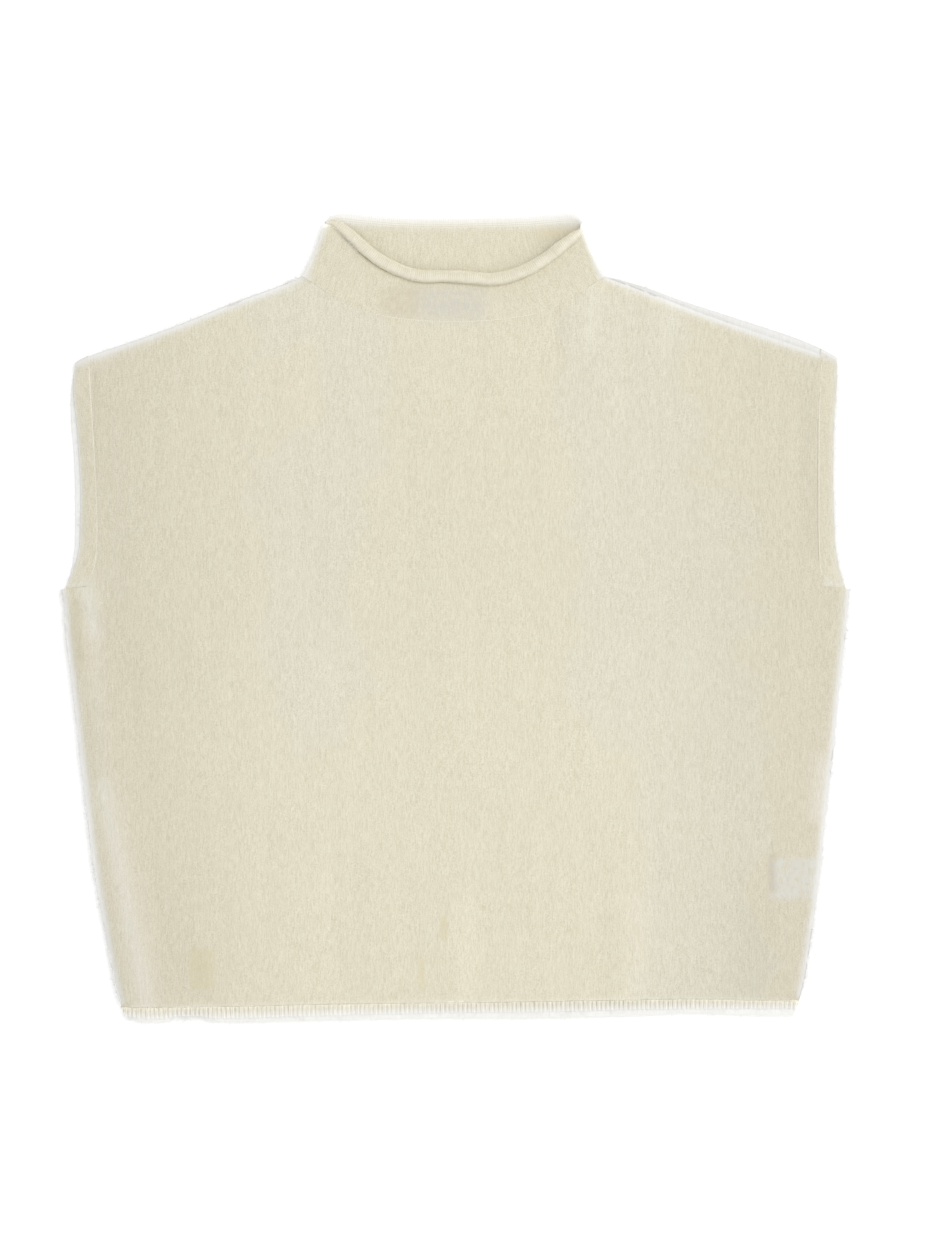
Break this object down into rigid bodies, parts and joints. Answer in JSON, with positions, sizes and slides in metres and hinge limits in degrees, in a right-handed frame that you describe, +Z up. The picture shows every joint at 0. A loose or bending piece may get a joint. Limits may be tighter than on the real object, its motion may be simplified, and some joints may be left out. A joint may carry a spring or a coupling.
{
  "type": "sleeveless sweater",
  "caption": "Sleeveless funnel-neck sweater in fine cream knit, laid flat with its front up: boxy body, narrow armhole bands, ribbed hem and rolled neck edge.",
  "frame": {"origin": "on the surface the sweater lies on, under the middle of its outline", "axes": "+X to the right as seen from above, +Y from the hem to the neck, +Z up from the surface, out of the front"},
  "size_m": [0.592, 0.6053, 0.0163],
  "materials": {
    "body_knit": "fine cream stockinette, soft and slightly fuzzy",
    "collar_knit": "fine cream stockinette, its reverse showing on the rolled edge",
    "hem_rib": "cream 1x1 rib",
    "band_knit": "cream stockinette band, linked on",
    "label_tape": "blank woven tape"
  },
  "bodies": {
    "root": {"front": "body_knit", "back": "body_knit", "collar": "collar_knit", "hem_front": "hem_rib", "hem_back": "hem_rib", "armhole_band_left": "band_knit", "armhole_band_right": "band_knit", "neck_label": "label_tape", "care_label": "label_tape"}
  },
  "joints": []
}
